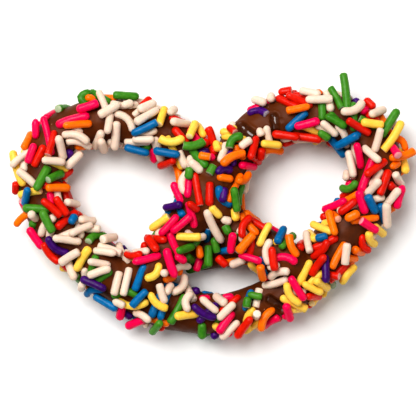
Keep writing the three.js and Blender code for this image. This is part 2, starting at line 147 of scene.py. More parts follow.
def coatAt(places, fill=rope["creaseFill"]):
    # How far places are outside the coat, and the way straight out. It is the distance to the nearest
    # station, with heights stretched by 1 / flatness, less its half width. Near a crease it is blended with
    # that of the nearest station of another stretch, by a smooth minimum as wide as the fill.
    places = np.atleast_2d(places)
    reach = np.empty(len(places))
    out = np.empty((len(places), 3))
    for first in range(0, len(places), rope["placesAtOnce"]):
        part = slice(first, first + rope["placesAtOnce"])
        way = places[part, None] - stations["middle"][None]
        way[:, :, 2] /= rope["flatness"]
        reaches = np.sqrt((way**2).sum(2)) - stations["girth"]
        rows = np.arange(len(reaches))
        near = reaches.argmin(1)
        apart = np.abs(stations["along"][None] - stations["along"][near][:, None])
        other = np.where(apart > rope["sameStretch"], reaches, np.inf).argmin(1)
        gap = reaches[rows, other] - reaches[rows, near]
        blend = np.maximum(fill - gap, 0) / fill
        outward = []
        for pick in (near, other):
            toPlace = way[rows, pick] / [1, 1, rope["flatness"]]
            outward.append(toPlace / np.maximum(np.linalg.norm(toPlace, axis=1, keepdims=True), tiny))
        mixed = outward[0] * (1 - blend / 2)[:, None] + outward[1] * (blend / 2)[:, None]
        out[part] = mixed / np.maximum(np.linalg.norm(mixed, axis=1, keepdims=True), tiny)
        reach[part] = reaches[rows, near] - blend**2 * fill / 4
    return reach, out


# The rods. The first 176 are the solid's own, by the same draws.
rods = {
    "thin": 0.7, "thick": 0.8,  # least and greatest radius
    "longest": 7.6, "shortest": 3.6, "lengthSpread": 0.8,  # less by up to this, at random
    "count": 520,  # rods at which the length comes down to the shortest
    "stopAt": 176, "throwsMost": 26000,
    "angles": [-24, 204],  # degrees round the rope from its outer side
    "traySpace": 0.06, "highest": 12.3,  # space to the tray, and the top of the highest rod
    "depthLeast": 0.35, "depthMost": 0.75,  # how far a rod is sunk in the coat
    "sideDepth": 0.3,  # the more where the coat stands upright
    "laidDepth": 0.55, "laidDepthMost": 0.95,  # of a listed rod: at its ends, and at most along it
    "bowedShare": 0.2, "bows": [0.4, 1.0], "straightBow": 0.12,  # and the most that the others are bowed
    "layeredShare": 0.55,  # of the rods that may lie over another
    # the lifts of a rod's two ends that are tried in turn; from the second number it has to rest on another
    "lays": [[0, 0], [0, 1.1], [1.1, 0], [0.2, 1.7], [1.7, 0.2], [1.3, 1.3]], "heldBelow": 0.5,
    "squeeze": 0.12, "touch": 0.05,  # how far two rods may overlap, and do where one rests on the other
    "standOffSide": 0.9, "standOffTop": 2.4,  # how far an end may be off the coat
    "lostUnder": 1.2,  # a throw this deep under another stretch of the coat is lost
    "bareMore": 0.2, "facingUp": 0.3,  # bare places grow by this share of the length, on coat that faces up
    "beads": 7,  # places measured along a rod
    "newtonSteps": 3,
    "seed": 2810,
    "overhangHeight": 6.2,  # of a rod's end that hangs over the edge
    "dropFrom": 14.0, "dropShare": 0.8, "dropNear": 0.02,  # how a listed rod's end is lowered onto the coat
    # ovals seen from above that the rods leave open, [x, y, half width, half depth]: the small gap, the
    # notch between the loops, and dents in the outline
    "gaps": [[2.4, -14.9, 6.4, 2.5], [0.4, 14.2, 1.5, 2.1], [4.0, 17.6, 2.0, 1.2], [-28.4, 20.4, 3.4, 1.2],
             [-6.4, -25.0, 3.4, 1.2]],
    "gapShift": 0,  # of all those ovals, in y
    # what changes for the rods after those of the solid, and for the last, which drop between the others
    "later": [{"longest": 9.4, "shortest": 4.3, "stopAt": 430, "squeeze": 0.16, "gapShift": 0.4},
              {"longest": 3.7, "shortest": 3.2, "bowedShare": 0, "layeredShare": 0.4, "squeeze": 0.2,
               "throwsMost": 9000, "stopAt": 508, "gapShift": 0.4}],
    "laterBare": [[-28.4, 18.2, 2.2], [-9.2, 14.6, 1.4]],  # left bare by these, as under "bare"
    # listed, laid after the solid's own, at the small gap's lower edge, where there is room
    "laidLater": [
        [[7.7, -16.3], [6.1, -20.4], 0, 0, "blue"], [[9.2, -15.9], [8.2, -20], 0, 0, "white"],
        [[7.9, -16.2], [7.2, -18.8], 0, 0, "blue"], [[9.4, -15.8], [8.9, -18], 0, 0, "white"],
        [[4.6, -17.5], [6.8, -16.8], 0, 0, "white"], [[1.8, -18], [4.2, -17.6], 0, 0, "pink"],
        [[-2.6, -18.2], [-0.4, -17.9], 0, 0, "pink"], [[0.6, -17.9], [0.4, -20.6], 0, 0, "orange"],
        [[5, -17.8], [5.6, -21], 0, 0.3, "white"], [[2.6, -18.6], [1.2, -23.6], 0, 0, "blue"],
    ],
    "laidLaterLowest": 4.6, "laidLaterSqueeze": 0.3,  # how low an end may be, and how far they may overlap
    # places seen from above that the rods left bare, [x, y, radius]
    "bare": [[-29.6, 17.0, 1.7], [-22.8, 15.6, 1.9], [-34.6, 7.4, 0.9], [8.0, 14.6, 2.0], [12.4, 17.0, 2.2],
             [26.4, -5.6, 2.2], [11.6, -18.4, 2.0], [-18.8, -12.0, 1.6], [-16.0, -19.6, 1.4],
             [-2.6, -3.6, 1.6], [-6.2, -23.4, 1.5]],
    # listed rods, which give the outline its spikes and hooks and lie on the twist and round the
    # small gap: both ends in plan, lift of the second, bow, colour
    "strays": [
        [[26, 17.6], [25.2, 25.6], 0.4, 0.1, "green"], [[27.1, 14.1], [27.1, 19.9], 0.9, 0.1, "green"],
        [[32.3, 13.1], [35.8, 18.5], 0.8, 0, "green"], [[32.7, 10.2], [36.6, 16.2], 1.4, 0.2, "yellow"],
        [[34.6, 13.4], [37.7, 10.6], -0.4, -0.6, "orange"], [[34, 8.9], [39.2, 10.4], -0.2, 0.2, "orange"],
        [[-34.1, 12.7], [-34.1, 16.6], 0.8, 0, "pink"], [[-30.9, 9.5], [-32.7, 17.2], 0.5, 0.1, "pink"],
        [[-30.2, 15.3], [-23.6, 17.3], 0.4, -0.2, "pink"], [[-34.8, 10.6], [-39, 7.4], 1, 0.2, "white"],
        [[-24.6, 18.8], [-24, 22.4], 0.4, -1.1, "green"],
        [[-22.6, 19.2], [-24.4, 21.2], 0.9, 0.4, "orange"],
        [[0.3, 11.4], [-0.9, 15.2], 1.6, 0.1, "red"], [[4.8, 14.9], [1.4, 13.9], 0.5, -0.3, "yellow"],
        [[1.8, 13.4], [6.6, 12.4], 0.6, 0, "yellow"], [[-18.6, -18.4], [-12.2, -18.8], 0.8, 0.9, "yellow"],
        [[-13, -11.3], [-15, -16.6], 0.9, 0, "blue"], [[-8.4, -16.4], [-10.2, -22.2], 0.5, 0.1, "blue"],
        [[-5.1, -17.2], [-8.3, -23], 0.5, 0, "green"], [[25.7, -7.1], [22.7, -12.4], 0.6, 0.1, "orange"],
        [[13, -17.7], [18.4, -20.2], 0.6, 0, "yellow"], [[33.2, 1.6], [23.9, -1.3], 0.5, 0.3, "white"],
        [[31.1, 9.5], [28.4, 2.3], 0.4, 0, "pink"], [[-2, -22.6], [-2, -25.9], -0.6, 0, "green"],
        [[-17.2, -18.4], [-18, -22.2], -0.8, 0, "pink"], [[-13, -22], [-16.8, -23.6], -2, 0, "pink"],
        [[-34.4, -1], [-38.3, -4], -0.6, 0.3, "orange"], [[5.6, 6.1], [2.9, 0.4], 0.4, 0.1, "orange"],
        [[-3.5, 6.3], [-2.3, -0.4], 0.4, 0, "red"], [[-0.5, 4.6], [-0.6, -0.3], 0.2, 0, "red"],
        [[-4.6, 0.8], [-3.4, -4.5], 0.3, 0, "pink"], [[-1.3, -0.9], [1.9, -7.3], 0.3, 0.2, "white"],
        [[-5.4, -5.2], [-1.2, -6.2], 0.5, 0.5, "white"], [[-8.5, -5], [-6.1, -10.4], 0.3, 0.1, "pink"],
        [[5.2, -1.7], [8.7, -5.8], 0.3, 0.1, "orange"], [[7.4, -5.4], [6.7, -10.9], 0.2, -0.4, "red"],
        [[-7.6, 14.9], [-4.7, 11.6], 0.3, 0, "red"], [[-4.6, 14.8], [-2.1, 11], 0.3, 0, "pink"],
        [[2.8, 12], [1.4, 8.2], 0.3, 0, "white"], [[4.1, 11.6], [6.2, 8.7], 0.2, 0.2, "orange"],
        [[-9.8, -11.2], [-12.8, -14.5], 0.6, -0.6, "yellow"],
        [[-5, -13.4], [-7.8, -17.3], 0.3, -0.7, "white"],
        [[-4.2, -11.7], [-8.2, -12.8], 0.4, 0.4, "white"], [[-0.8, -7.6], [-0.8, -12.1], 0.1, 0, "green"],
        [[-2.7, -7.7], [-2.3, -10.4], 0.4, 0, "orange"], [[0.7, -9.9], [2.9, -11.9], 0.2, 0, "red"],
        [[3.4, -11.7], [6.3, -10.4], 0.2, 0, "white"], [[9, -10], [10.5, -13.6], 0.3, 0, "blue"],
        [[9.6, -15.7], [14.6, -14.1], 0.3, 0.2, "white"], [[8.8, 14.9], [9.6, 13.1], 0.3, 0, "white"],
        [[10.3, 15.3], [11.2, 11.4], 0.3, 0.1, "white"],
        [[-4.3, 11.2], [-1, 7.2], 0.2, 0.2, "green"], [[-1.8, 9.4], [0.6, 9], 0.2, 0, "pink"],
        [[0.4, 7.8], [-0.8, 5.7], 0.2, 0, "green"], [[3.3, 10.6], [4, 7.3], 0, 0, "purple"],
        [[0.5, 6.2], [3.9, 6.9], 0.2, -0.4, "purple"], [[0.8, 5.4], [4, 4.9], 0.2, 0, "orange"],
        [[0.9, 3.6], [3.6, -0.4], 0.1, 0.8, "blue"], [[2.4, 3.5], [1.8, 0.4], 0.5, 0, "purple"],
        [[5.7, 4.4], [4.8, -0.4], 0.1, 0.2, "green"], [[-0.5, -0.2], [1.7, -2.4], 0.2, 0, "yellow"],
        [[4.1, -0.4], [4.6, -3.2], 0.3, 0, "yellow"], [[1.6, -2.6], [3.6, -3.3], 0.2, 0, "white"],
        [[2.3, -3.7], [3.3, -5.8], 0.5, 0, "green"], [[4.2, -5], [3.9, -7.8], 0.2, 0, "green"],
        [[5.2, -4.1], [5.8, -7.2], 0.2, -0.4, "white"], [[0.2, -6.2], [1, -9.4], 0.2, 0, "green"],
        [[-8.9, 13.4], [-5.7, 6.8], 0.2, 0, "yellow"], [[-6.6, 10.6], [-5, 7], 0.2, 0, "white"],
        [[-4.3, 9.6], [-4, 6.7], 0.2, 0, "white"], [[-5, 6.6], [-5.5, 1.9], 0.1, 0.7, "white"],
        [[-4.4, 6], [-4.8, 1.3], 0.2, 0, "pink"], [[-7, 1.3], [-5.6, -2.4], 0.2, 0, "blue"],
        [[-7.4, -2.1], [-6, -4], 0.3, 0, "green"], [[-36.4, 3.6], [-38.8, 10.6], -1.2, -0.2, "yellow"],
    ],
}


def rodBetween(start, end, bowWay, radius):
    # The axis is the straight line from start to end plus the bow times 4 s (1 - s).
    share = (np.arange(rods["beads"]) / (rods["beads"] - 1))[:, None]
    beads = lerp(start, end, share) + bowWay * 4 * share * (1 - share)
    return {"start": start, "end": end, "bowWay": bowWay, "radius": radius, "beads": beads}


def heightOver(place, radius, depth, lowest):
    # Steps down from above until the rod's axis is its radius less its depth off the coat.
    point = np.array([place[0], place[1], rods["dropFrom"]])
    while point[2] > lowest:
        left = coatAt(point)[0][0] - (radius - depth)
        if left < rods["dropNear"]:
            return point[2]
        point[2] -= left * rods["dropShare"]
    return lowest


def placeStray(stray, draw, lowest=rods["overhangHeight"]):
    # A listed rod: its ends are lowered onto the coat, and it is raised where it would sink too far.
    fromPlace, toPlace, lift, bow, colour = stray
    radius = lerp(rods["thin"], rods["thick"], draw())
    start = np.array([*fromPlace, heightOver(fromPlace, radius, rods["laidDepth"], lowest)])
    end = np.array([*toPlace, heightOver(toPlace, radius, rods["laidDepth"], lowest) + lift])
    along = unit(end - start)
    bowWay = unit(np.cross(along, zUp)) * bow
    sunken = rodBetween(start + along * radius, end - along * radius, bowWay, radius)
    rise = zUp * max(radius - rods["laidDepthMost"] - coatAt(sunken["beads"])[0].min(), 0)
    return {**rodBetween(sunken["start"] + rise, sunken["end"] + rise, bowWay, radius), "colour": colour}


def roomFor(beads, radius, placed):
    # The least space between these beads and the rods already there, below nought where they overlap.
    middle = (rods["beads"] - 1) // 2
    reachMost = rods["longest"] + rods["thick"]
    around = np.linalg.norm(placed["beads"][:, middle] - beads[middle], axis=1) <= reachMost
    apart = np.linalg.norm(beads[None, :, None] - placed["beads"][around][:, None], axis=3)
    return (apart.min((1, 2)) - placed["radius"][around]).min(initial=np.inf) - radius


def throwRod(placed, draw, rule):
    # One throw: a place on the rope and a turn. The length falls from longest to shortest with the square
    # root of the share placed. The rod is sunk in the coat, or leans on those already there, or is lost.
    k = int(draw() * len(stations["girth"]))
    angle = np.radians(lerp(*rods["angles"], draw()))
    turn = draw() * np.pi
    radius = lerp(rods["thin"], rods["thick"], draw())
    filled = (len(placed["radius"]) / rods["count"]) ** 0.5
    full = lerp(rule["longest"], rule["shortest"], filled) - rods["lengthSpread"] * draw()
    bowed = draw() < rule["bowedShare"]
    bow = lerp(*rods["bows"], draw()) if bowed else rods["straightBow"] * draw()
    sunk = lerp(rods["depthLeast"], rods["depthMost"], draw())
    layered = draw() < rule["layeredShare"]

    girth = stations["girth"][k]
    place = stations["middle"][k] + stations["side"][k] * np.cos(angle) * girth
    place = place + stations["top"][k] * np.sin(angle) * girth * rope["flatness"]
    reach, out = coatAt(place)
    if reach[0] < -rods["lostUnder"]:
        return None
    for _ in range(rods["newtonSteps"]):
        place = place - out[0] * reach[0]
        reach, out = coatAt(place)
    out = out[0]
    more = full * rods["bareMore"]
    bare = any(np.hypot(place[0] - x, place[1] - y) < size + more for x, y, size in rule["bare"])
    if bare and out[2] > rods["facingUp"]:
        return None

    ahead = stations["ahead"][k]
    first = unit(ahead - out * ahead.dot(out))
    along = first * np.cos(turn) + np.cross(out, first) * np.sin(turn)
    half = full / 2 - radius
    depth = sunk + rods["sideDepth"] * (1 - abs(out[2]))
    bowWay = np.cross(out, along) * bow * (full / rods["longest"])
    flat = rodBetween(place - along * half, place + along * half, bowWay, radius)
    reaches = coatAt(flat["beads"])[0]
    rise = radius - depth - reaches.min()
    furthest = lerp(rods["standOffSide"], rods["standOffTop"], max(out[2], 0))
    share = np.arange(rods["beads"]) / (rods["beads"] - 1)
    for startLift, endLift in rods["lays"] if layered else rods["lays"][:1]:
        raised = lerp(startLift, endLift, share)
        if rise + (reaches + raised).max() >= furthest:
            continue
        start = flat["start"] + out * (rise + startLift)
        end = flat["end"] + out * (rise + endLift)
        candidate = rodBetween(start, end, bowWay, radius)
        beads = candidate["beads"]
        room = roomFor(beads, radius, placed)
        held = min(startLift, endLift) < rods["heldBelow"] or room < -rods["touch"]
        clearOfGaps = all(
            np.hypot((beads[:, 0] - x) / (wide + radius),
                     (beads[:, 1] - y - rule["gapShift"]) / (deep + radius)).min() >= 1
            for x, y, wide, deep in rods["gaps"])
        offTray = beads[:, 2].min() - radius > rods["traySpace"]
        underTop = beads[:, 2].max() + radius < rods["highest"]
        if held and offTray and underTop and room > -rule["squeeze"] and clearOfGaps:
            return candidate
    return None


def placeRods():
    # First the listed rods, then the solid's own by throws, then those of the scene alone.
    draw = makeDraw(rods["seed"])
    found = [placeStray(stray, draw) for stray in rods["strays"]]
    placed = {key: np.array([rod[key] for rod in found]) for key in ("beads", "radius")}

    def add(rod):
        found.append(rod)
        placed["beads"] = np.concatenate([placed["beads"], rod["beads"][None]])
        placed["radius"] = np.append(placed["radius"], rod["radius"])

    def throwUntilFull(rule):
        for _ in range(rule["throwsMost"]):
            rod = throwRod(placed, draw, rule)
            if rod is not None:
                add(rod)
            if len(found) >= rule["stopAt"]:
                break
        print("rods placed:", len(found))

    throwUntilFull(rods)
    for stray in rods["laidLater"]:
        rod = placeStray(stray, draw, rods["laidLaterLowest"])
        if roomFor(rod["beads"], rod["radius"], placed) > -rods["laidLaterSqueeze"]:
            add(rod)
    print("rods placed:", len(found))
    for changes in rods["later"]:
        throwUntilFull({**rods, "bare": rods["bare"] + rods["laterBare"], **changes})
    return found


allRods = placeRods()


def newMesh(name, points, faces):
    # Points in millimetres and faces as rows of corners, put into a mesh in metres.
    mesh = bpy.data.meshes.new(name)
    mesh.from_pydata((points * metre).tolist(), [], faces)
    mesh.polygons.foreach_set("use_smooth", np.ones(len(mesh.polygons), bool))
    mesh.update()
    piece = bpy.data.objects.new(name, mesh)
    bpy.context.scene.collection.objects.link(piece)
    return piece


def addAttribute(piece, name, values):
    # One number, or one place, for each point of the mesh.
    kind, field = ("FLOAT_VECTOR", "vector") if values.ndim == 2 else ("FLOAT", "value")
    attribute = piece.data.attributes.new(name, kind, "POINT")
    attribute.data.foreach_set(field, values.astype(np.float32).ravel())


def tubeRows(grid):
    # The corners of tubes given as grid[tube, ring, side]: the inner rings', then one for each pole.
    inner = grid[:, 1:-1].reshape(len(grid), -1, grid.shape[-1])
    return np.concatenate([inner, grid[:, [0, -1], 0]], 1)


def closedTubes(points):
    # Faces for tubes given as points[tube, ring, side]: quads between neighbouring rings, and a ring of
    # triangles at each end round a pole, which is the first or last ring drawn together.
    tubes, rings, sides, _ = points.shape
    flat = tubeRows(points)
    side = np.arange(sides)
    after = (side + 1) % sides
    row = (np.arange(rings - 3) * sides)[:, None]
    quads = np.stack([row + side, row + after, row + sides + after, row + sides + side], 2).reshape(-1, 4)
    last = (rings - 3) * sides
    southPole = (rings - 2) * sides
    south = np.stack([np.full(sides, southPole), after, side], 1)
    north = np.stack([np.full(sides, southPole + 1), last + side, last + after], 1)
    faces = []
    for start in (np.arange(tubes) * flat.shape[1]).tolist():
        for block in (quads, south, north):
            faces.extend((block + start).tolist())
    return flat.reshape(-1, 3), faces


# The coat of milk chocolate over the dough.
coat = {
    "sides": 28,
    "tipRings": [88, 70, 52, 35, 17],  # degrees
    "firstVoxel": 0.5, "voxel": 0.297,
    "fill": 1.9,  # chocolate run into the creases
    "newtonSteps": 3,
    "trayHold": 0.12,  # height under which a place lies on the tray
    "ripples": [[11, 0.16], [4.5, 0.08], [1.7, 0.025]],  # [length, height]
    "waves": 14, "waveSpread": [0.75, 1.35],  # how many make up a random field, and their lengths in shares
    "rippleFacing": [1.5, 0.6],  # ripples fade as the smoothstep of this times the upward part, plus this
    "meniscus": 0.16, "meniscusReach": 0.4,  # chocolate drawn up round each rod
    "rodsWithin": 2.2, "farAway": 9.0,  # how far round a rod is measured, and the distance given beyond
    # the skirt where the coat met the tray, on coat that faces down by this much or more
    "footHeight": 1.1, "footReach": 0.42, "footFacing": -0.25, "footSteep": 1.6, "footDrop": 0.1,
    "ragged": {"mean": 0.6, "depth": 0.55, "length": 3.4, "seed": 5},
    "wideFoot": [[-6.5, -24.2, 4.5, 1.6], [34.5, 3.0, 4, 0.8]],  # and where more ran: [x, y, radius, more]
    "wideFootEdge": 1.5,  # in radii
    # hollows left by rods that fell off: both ends, half width, depth
    "imprints": [
        [[11.0, -18.2], [13.2, -19.8], 0.95, 0.85], [[5.9, 14.9], [9.6, 11.7], 1.0, 0.95],
        [[11.8, 17.0], [12.5, 13.1], 0.9, 0.85], [[6.9, 11.0], [7.2, 9.9], 0.5, 0.45],
        [[-28.6, 12.2], [-27.9, 11.7], 0.5, 0.3], [[-16.2, -19.6], [-15.6, -19.5], 0.55, 0.35],
    ],
    # height of the chocolate pushed up round a hollow; its place, width and the hollow's edge, as shares
    "rim": 0.2, "rimAt": 1.2, "rimWidth": 0.2, "hollowEdge": 1.1, "hollowSharpness": 2.2,
    "imprintFacing": 0.2, "bubbleFacing": 0.3,  # least upward part of the coat where they lie
    "bubbles": 150, "bubbleSizes": [0.22, 0.58], "bubbleDepth": 0.24, "bubbleEdge": 1.3,
    "bubbleRim": 0.06, "bubbleRimAt": 1.4, "bubbleRimWidth": 0.3,
    "seed": 77,
}


def waviness(places, size, seed):
    # A smooth random field of about unit height: the sum of sines of about this length in random
    # directions, over the square root of their number.
    count = coat["waves"]
    rng = np.random.default_rng(seed)
    directions = unit(rng.normal(size=(count, 3)))
    lengths = size * rng.uniform(*coat["waveSpread"], count)
    phases = rng.uniform(0, 2 * np.pi, count)
    waves = np.sin(places @ (directions * (2 * np.pi / lengths)[:, None]).T + phases)
    return waves.sum(1) / count**0.5


def smooth(x):
    # Smoothstep: 3 x^2 - 2 x^3, held between 0 and 1.
    x = np.clip(x, 0, 1)
    return x * x * (3 - 2 * x)


def ridge(apart, at, width):
    # A bell curve: e to the power of minus ((apart - at) / width) squared.
    return np.exp(-((apart - at) / width) ** 2)


def sweptRope(measured):
    # An oval section, cos a to the side and flatness times sin a to the top in half widths, carried along
    # the stations, with each end closed by smaller rings whose size and reach are a cosine and a sine.
    angle = np.arange(coat["sides"]) * 2 * np.pi / coat["sides"]
    tip = np.radians(coat["tipRings"])
    last = len(measured["girth"]) - 1
    pick = np.concatenate([np.zeros(len(tip), int), np.arange(last + 1), np.full(len(tip), last)])
    size = np.concatenate([np.cos(tip), np.ones(last + 1), np.cos(tip[::-1])])
    size[[0, -1]] = 0
    shift = np.concatenate([-np.sin(tip), np.zeros(last + 1), np.sin(tip[::-1])])
    girth = measured["girth"][pick][:, None, None]
    side = measured["side"][pick][:, None] * (np.cos(angle) * size[:, None])[:, :, None]
    top = measured["top"][pick][:, None] * (np.sin(angle) * size[:, None])[:, :, None] * rope["flatness"]
    ahead = measured["ahead"][pick][:, None] * shift[:, None, None]
    points = measured["middle"][pick][:, None] + (side + top + ahead) * girth
    points[:, :, 2] = np.maximum(points[:, :, 2], 0)
    return closedTubes(points[None])


def pointsOf(mesh):
    # The mesh's points in millimetres.
    points = np.empty(len(mesh.vertices) * 3)
    mesh.vertices.foreach_get("co", points)
    return points.reshape(-1, 3) / metre


def remeshed(piece, voxel):
    # One even skin round everything in the piece, by voxels.
    remesh = piece.modifiers.new("skin", "REMESH")
    remesh.mode = "VOXEL"
    remesh.voxel_size = voxel * metre
    skin = bpy.data.meshes.new_from_object(piece.evaluated_get(bpy.context.evaluated_depsgraph_get()))
    piece.modifiers.clear()
    piece.data = skin
    return pointsOf(skin)


def ontoCoat(points):
    # Newton steps along the way out, until the coat's reach is nought. Places on the tray that the coat
    # covers stay where they are.
    for _ in range(coat["newtonSteps"]):
        reach, out = coatAt(points, coat["fill"])
        onTray = (points[:, 2] < coat["trayHold"]) & (reach < 0)
        points = np.where(onTray[:, None], points * [1, 1, 0], points - out * reach[:, None])
        points[:, 2] = np.maximum(points[:, 2], 0)
    return points, coatAt(points, coat["fill"])[1]


def rodDistance(points):
    # Distance from each point to the surface of the nearest rod, measured to the chords between its beads.
    nearest = np.full(len(points), coat["farAway"])
    for rod in allRods:
        beads = rod["beads"]
        low, high = beads.min(0) - coat["rodsWithin"], beads.max(0) + coat["rodsWithin"]
        close = np.nonzero(((points > low) & (points < high)).all(1))[0]
        if not len(close):
            continue
        start, step = beads[:-1], np.diff(beads, axis=0)
        way = points[close][:, None] - start
        share = np.clip((way * step).sum(2) / (step**2).sum(1), 0, 1)
        apart = np.linalg.norm(way - step * share[:, :, None], axis=2).min(1) - rod["radius"]
        nearest[close] = np.minimum(nearest[close], apart)
    return nearest


def coatRelief(points, out):
    # Height added to the coat: ripples, chocolate drawn up by the rods as e to the minus gap over reach,
    # half-round hollows of lost rods with a low rim, and burst bubbles. With it goes how far a place is
    # inside such a hollow, from 0 to 1, which sets the painted shade and the gloss there.
    slope, level = coat["rippleFacing"]
    facingUp = smooth(out[:, 2] * slope + level)
    height = sum(waviness(points, size, int(size * 10)) * tall for size, tall in coat["ripples"]) * facingUp
    gap = np.maximum(rodDistance(points), 0)
    height = height + coat["meniscus"] * np.exp(-gap / coat["meniscusReach"]) * (gap > 0)
    hollow = np.zeros(len(points))
    for start, end, wide, deep in coat["imprints"]:
        start, step = np.array(start), np.subtract(end, start)
        way = points[:, :2] - start
        share = np.clip(way @ step / step.dot(step), 0, 1)
        apart = np.linalg.norm(way - share[:, None] * step, axis=1) / wide
        apart = np.where(out[:, 2] > coat["imprintFacing"], apart, coat["farAway"])
        height = height - deep * np.sqrt(np.maximum(1 - apart**2, 0))
        height = height + coat["rim"] * ridge(apart, coat["rimAt"], coat["rimWidth"])
        hollow = np.maximum(hollow, smooth(coat["hollowSharpness"] * (coat["hollowEdge"] - apart)))
    rng = np.random.default_rng(coat["seed"])
    low, high = ([[points[:, 0].min()], [points[:, 1].min()], coat["bubbleSizes"][:1]],
                 [[points[:, 0].max()], [points[:, 1].max()], coat["bubbleSizes"][1:]])
    for x, y, size in zip(*rng.uniform(low, high, (3, coat["bubbles"]))):
        apart = np.hypot(points[:, 0] - x, points[:, 1] - y) / size
        raised = coat["bubbleRim"] * ridge(apart, coat["bubbleRimAt"], coat["bubbleRimWidth"])
        pit = coat["bubbleDepth"] * smooth(coat["bubbleEdge"] - apart)
        height = height + (raised - pit) * (out[:, 2] > coat["bubbleFacing"])
    return height, hollow


def coatPiece():
    # The swept ropes get one skin by voxels, twice, and each time it is moved onto the coat; then comes the
    # relief. At the foot it spreads in plan by how low a place is, how steep, and a ragged field.
    pieces = [sweptRope(measured) for measured in (coated, pooled)]
    points = np.vstack([part[0] for part in pieces])
    faces = pieces[0][1] + [[corner + len(pieces[0][0]) for corner in face] for face in pieces[1][1]]
    piece = newMesh("milkChocolateCoat", points, faces)
    points, _ = ontoCoat(remeshed(piece, coat["firstVoxel"]))
    piece.data.vertices.foreach_set("co", (points * metre).ravel())
    piece.data.update()
    points, out = ontoCoat(remeshed(piece, coat["voxel"]))
    height, hollow = coatRelief(points, out)
    points = points + out * height[:, None]
    foot = smooth(1 - points[:, 2] / coat["footHeight"]) * (out[:, 2] < coat["footFacing"])
    wider = sum(more * smooth(coat["wideFootEdge"] - np.hypot(points[:, 0] - x, points[:, 1] - y) / size)
                for x, y, size, more in coat["wideFoot"])
    foot = foot * (1 + wider)
    edge = coat["ragged"]
    ragged = edge["mean"] + edge["depth"] * waviness(points * [1, 1, 0], edge["length"], edge["seed"])
    plan = unit(out * [1, 1, 0] + [tiny, 0, 0])
    steep = smooth(np.linalg.norm(out[:, :2], axis=1) * coat["footSteep"])
    points = points + plan * (foot * ragged * steep * coat["footReach"])[:, None]
    lowered = np.maximum(points[:, 2] - coat["footDrop"] * foot, 0)
    points[:, 2] = np.where(out[:, 2] < 0, lowered, points[:, 2])
    piece.data.vertices.foreach_set("co", (points * metre).ravel())
    piece.data.polygons.foreach_set("use_smooth", np.ones(len(piece.data.polygons), bool))
    # where a place lies in a hollow, for the hollow's painted shade and its gloss
    addAttribute(piece, "hollow", hollow)
    piece.data.update()
    return piece


chocolateCoat = coatPiece()
print("coat made:", len(chocolateCoat.data.polygons), "faces")

# The sugar rods as they show. The kinds of end are rings of [offset, size] in radii, from the pole inwards.
rodLooks = {
    "sides": 8,
    "ends": {
        "round": [[1.0, 0], [0.8, 0.58], [0.32, 0.94]],
        "blunt": [[0.84, 0], [0.74, 0.68], [0.36, 0.97]],
        "cut": [[0.6, 0], [0.64, 0.84], [0.5, 0.98]],
        "pinched": [[1.1, 0], [0.85, 0.5], [0.25, 0.9]],
    },
    "endShares": {"round": 0.6, "blunt": 0.28, "cut": 0.07, "pinched": 0.05},
    "greenEndShares": {"round": 0.38, "blunt": 0.22, "cut": 0.35, "pinched": 0.05},
    "bodyShares": [0.07, 0.28, 0.5, 0.72, 0.93],
    "fullness": 1.08,  # makes up for the eight flats, and a little more
    "taper": 0.09, "oval": 0.05, "dents": 0.025,
    "nudge": 1e-3,  # keeps an upright rod's side from being nought
    "streakSqueeze": 0.22, "streakApart": 9.7,  # of the pattern along a rod, and from one rod to the next
    "floorSpace": 0.02,
    "seed": 31,
    # share of the rods in each colour
    "colours": {"white": 0.285, "green": 0.12, "red": 0.145, "pink": 0.1, "orange": 0.125, "yellow": 0.12,
                "blue": 0.08, "purple": 0.045},
    # where one colour gathers, seen from above: [x, y, radius, colour, times as likely]
    "gathered": [
        [-25, 19, 4, "green", 4], [-21, 18.5, 4, "orange", 4], [-15, 18.5, 4, "green", 3],
        [-11, 17, 3, "yellow", 5], [-17, 12, 8, "white", 3.5], [-31, 14, 4, "pink", 4],
        [-34, 4, 4, "green", 5], [-34, 6, 3, "orange", 5], [-29, 1, 4, "red", 5],
        [-26, -8, 7, "white", 4], [-19, -12, 6, "white", 3.5], [-14, -14, 4, "yellow", 5],
        [-11, -18, 4, "blue", 3], [-5, -21, 4, "purple", 5], [1, -19, 5, "white", 2.5],
        [8, -18, 4, "blue", 5], [19, -17, 5, "yellow", 4], [15, -13, 5, "pink", 3],
        [20, -8, 5, "orange", 3], [27, -5, 5, "orange", 4], [24, -3, 5, "yellow", 2.5],
        [36, 8, 4, "orange", 6], [31, 7, 4, "white", 3], [27, 13, 6, "white", 4],
        [25, 18, 5, "green", 4], [15, 17, 5, "red", 5], [9, 15, 3, "pink", 3],
        [-6, 3, 3, "blue", 8], [0, 2, 4, "red", 4], [4, 5, 3, "orange", 5],
        [-9, -7, 4, "red", 4], [-3, -8, 5, "green", 3], [5, -8, 4, "pink", 4],
    ],
}


def pickColours():
    # A random draw for each rod by the colours' shares, times what gathers them where its middle lies. The
    # listed rods have theirs.
    rng = np.random.default_rng(rodLooks["seed"])
    names = list(rodLooks["colours"])
    chosen = []
    for rod in allRods:
        if "colour" in rod:
            chosen.append(rod["colour"])
            continue
        weights = np.array(list(rodLooks["colours"].values()))
        middle = rod["beads"].mean(0)
        for x, y, size, colour, more in rodLooks["gathered"]:
            if np.hypot(middle[0] - x, middle[1] - y) < size:
                weights[names.index(colour)] *= more
        chosen.append(names[rng.choice(len(names), p=weights / weights.sum())])
    return np.array(chosen)


